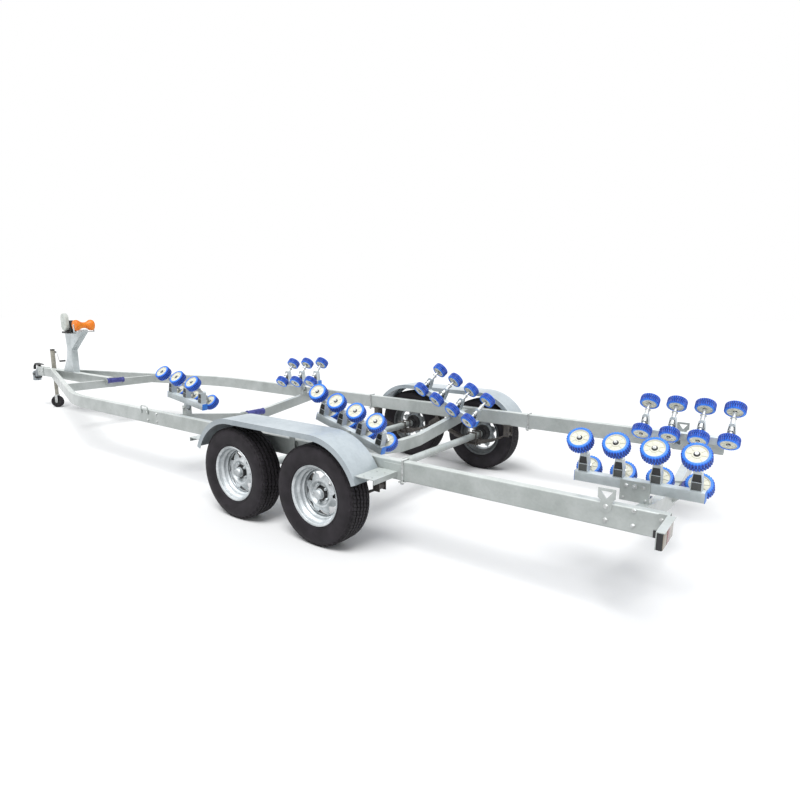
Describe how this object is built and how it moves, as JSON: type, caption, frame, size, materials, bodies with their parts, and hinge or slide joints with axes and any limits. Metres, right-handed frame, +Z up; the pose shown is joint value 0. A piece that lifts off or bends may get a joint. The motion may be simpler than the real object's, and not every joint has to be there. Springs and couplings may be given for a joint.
{
  "type": "boat trailer",
  "caption": "Tandem-axle galvanised boat trailer with rocking roller banks, keel rollers, bow post with winch, mudguards, coupling and drawbar jack.",
  "frame": {"origin": "on the floor under the middle of the trailer's bounding box", "axes": "+X forward to the coupling, +Y to the trailer's left, +Z up"},
  "size_m": [8.93, 2.344, 1.36],
  "materials": {
    "galvanised": "hot-dip galvanised, dull with a faint spangle",
    "post_steel": "hot-dip galvanised sheet",
    "coupling_steel": "zinc-plated cast and pressed steel",
    "guard_steel": "bright galvanised sheet with a bluish sheen",
    "spring_steel": "black paint over spring steel",
    "tyre_rubber": "matt black rubber",
    "rim_zinc": "bright zinc",
    "roller_blue": "satin blue moulded polyurethane",
    "keel_blue": "dark blue ribbed rubber",
    "bow_orange": "orange moulded polyurethane",
    "winch_black": "black powder coat",
    "cover_grey": "light grey moulded plastic",
    "lamp_red": "red lens on a dark base",
    "jack_zinc": "yellowish zinc plate",
    "jack_rubber": "black solid rubber on a plastic hub"
  },
  "bodies": {
    "frame": {"rail_left": "galvanised", "rail_right": "galvanised", "drawbar": "galvanised", "cross_tube_front": "galvanised", "cross_tube_forward": "galvanised", "cross_tube_middle": "galvanised", "cross_tube_rear": "galvanised", "keel_brackets": "galvanised", "guard_brackets": "galvanised", "axle_front": "galvanised", "axle_rear": "galvanised", "lamp_brackets": "galvanised", "tie_downs": "galvanised", "bank_brackets_rear": "galvanised", "bank_brackets_middle": "galvanised", "bank_brackets_forward": "galvanised", "winch_post": "post_steel", "coupling": "coupling_steel", "mudguard_left": "guard_steel", "mudguard_right": "guard_steel", "suspension_left": "spring_steel", "suspension_right": "spring_steel", "winch": "winch_black", "winch_cover": "cover_grey", "lamps": "lamp_red", "jack_tube": "jack_zinc"},
    "wheel_front_left": {"tyre_front_left": "tyre_rubber", "rim_front_left": "rim_zinc"},
    "wheel_front_right": {"tyre_front_right": "tyre_rubber", "rim_front_right": "rim_zinc"},
    "wheel_rear_left": {"tyre_rear_left": "tyre_rubber", "rim_rear_left": "rim_zinc"},
    "wheel_rear_right": {"tyre_rear_right": "tyre_rubber", "rim_rear_right": "rim_zinc"},
    "bank_rear_left": {"bank_frame_rear_left": "galvanised", "bank_rollers_rear_left": "roller_blue"},
    "bank_rear_right": {"bank_frame_rear_right": "galvanised", "bank_rollers_rear_right": "roller_blue"},
    "bank_middle_left": {"bank_frame_middle_left": "galvanised", "bank_rollers_middle_left": "roller_blue"},
    "bank_middle_right": {"bank_frame_middle_right": "galvanised", "bank_rollers_middle_right": "roller_blue"},
    "bank_forward_left": {"bank_frame_forward_left": "galvanised", "bank_rollers_forward_left": "roller_blue"},
    "bank_forward_right": {"bank_frame_forward_right": "galvanised", "bank_rollers_forward_right": "roller_blue"},
    "keel_roller_rear_body": {"keel_roller_rear": "keel_blue"},
    "keel_roller_forward_body": {"keel_roller_forward": "keel_blue"},
    "keel_roller_front_body": {"keel_roller_front": "keel_blue"},
    "bow_roller_body": {"bow_roller": "bow_orange"},
    "jack_inner_leg": {"jack_leg": "jack_zinc"},
    "jack_caster": {"jack_fork": "jack_zinc"},
    "jack_road_wheel": {"jack_wheel": "jack_rubber"}
  },
  "joints": [
    {"name": "wheel_front_left_spin", "type": "hinge", "parent": "frame", "child": "wheel_front_left", "pos_m": [-1.6185, 1.066, 0.325], "axis": [0, 1, 0], "continuous": true},
    {"name": "wheel_front_right_spin", "type": "hinge", "parent": "frame", "child": "wheel_front_right", "pos_m": [-1.6185, -1.066, 0.325], "axis": [0, 1, 0], "continuous": true},
    {"name": "wheel_rear_left_spin", "type": "hinge", "parent": "frame", "child": "wheel_rear_left", "pos_m": [-2.3935, 1.066, 0.325], "axis": [0, 1, 0], "continuous": true},
    {"name": "wheel_rear_right_spin", "type": "hinge", "parent": "frame", "child": "wheel_rear_right", "pos_m": [-2.3935, -1.066, 0.325], "axis": [0, 1, 0], "continuous": true},
    {"name": "bank_rear_left_rock", "type": "hinge", "parent": "frame", "child": "bank_rear_left", "pos_m": [-4.1375, 0.65, 0.61175], "axis": [0, 1, 0], "range_deg": [-18, 18]},
    {"name": "bank_rear_right_rock", "type": "hinge", "parent": "frame", "child": "bank_rear_right", "pos_m": [-4.1375, -0.65, 0.61175], "axis": [0, 1, 0], "range_deg": [-18, 18]},
    {"name": "bank_middle_left_rock", "type": "hinge", "parent": "frame", "child": "bank_middle_left", "pos_m": [-2.269, 0.655, 0.62082], "axis": [0, 1, 0], "range_deg": [-10, 42]},
    {"name": "bank_middle_right_rock", "type": "hinge", "parent": "frame", "child": "bank_middle_right", "pos_m": [-2.269, -0.655, 0.62082], "axis": [0, 1, 0], "range_deg": [-1, 51]},
    {"name": "bank_forward_left_rock", "type": "hinge", "parent": "frame", "child": "bank_forward_left", "pos_m": [-0.431, 0.7, 0.60116], "axis": [0, 1, 0], "range_deg": [-18.5, 33.5]},
    {"name": "bank_forward_right_rock", "type": "hinge", "parent": "frame", "child": "bank_forward_right", "pos_m": [-0.431, -0.7, 0.60116], "axis": [0, 1, 0], "range_deg": [-30.5, 21.5]},
    {"name": "keel_roller_rear_spin", "type": "hinge", "parent": "frame", "child": "keel_roller_rear_body", "pos_m": [-4.254, 0, 0.435], "axis": [0, 1, 0], "continuous": true},
    {"name": "keel_roller_forward_spin", "type": "hinge", "parent": "frame", "child": "keel_roller_forward_body", "pos_m": [-0.484, 0, 0.455], "axis": [0, 1, 0], "continuous": true},
    {"name": "keel_roller_front_spin", "type": "hinge", "parent": "frame", "child": "keel_roller_front_body", "pos_m": [2.131, 0, 0.56], "axis": [0, 1, 0], "continuous": true},
    {"name": "bow_roller_spin", "type": "hinge", "parent": "frame", "child": "bow_roller_body", "pos_m": [2.824, 0, 1.215], "axis": [0, 1, 0], "continuous": true},
    {"name": "jack_extend", "type": "slide", "parent": "frame", "child": "jack_inner_leg", "axis": [0, 0, -1], "range_m": [-0.2, 0.12]},
    {"name": "jack_swivel", "type": "hinge", "parent": "jack_inner_leg", "child": "jack_caster", "pos_m": [4.029, -0.09, 0.18], "axis": [0, 0, 1], "continuous": true},
    {"name": "jack_wheel_spin", "type": "hinge", "parent": "jack_caster", "child": "jack_road_wheel", "pos_m": [4.029, -0.09, 0.085], "axis": [-0.6428, 0.766, 0], "continuous": true}
  ]
}
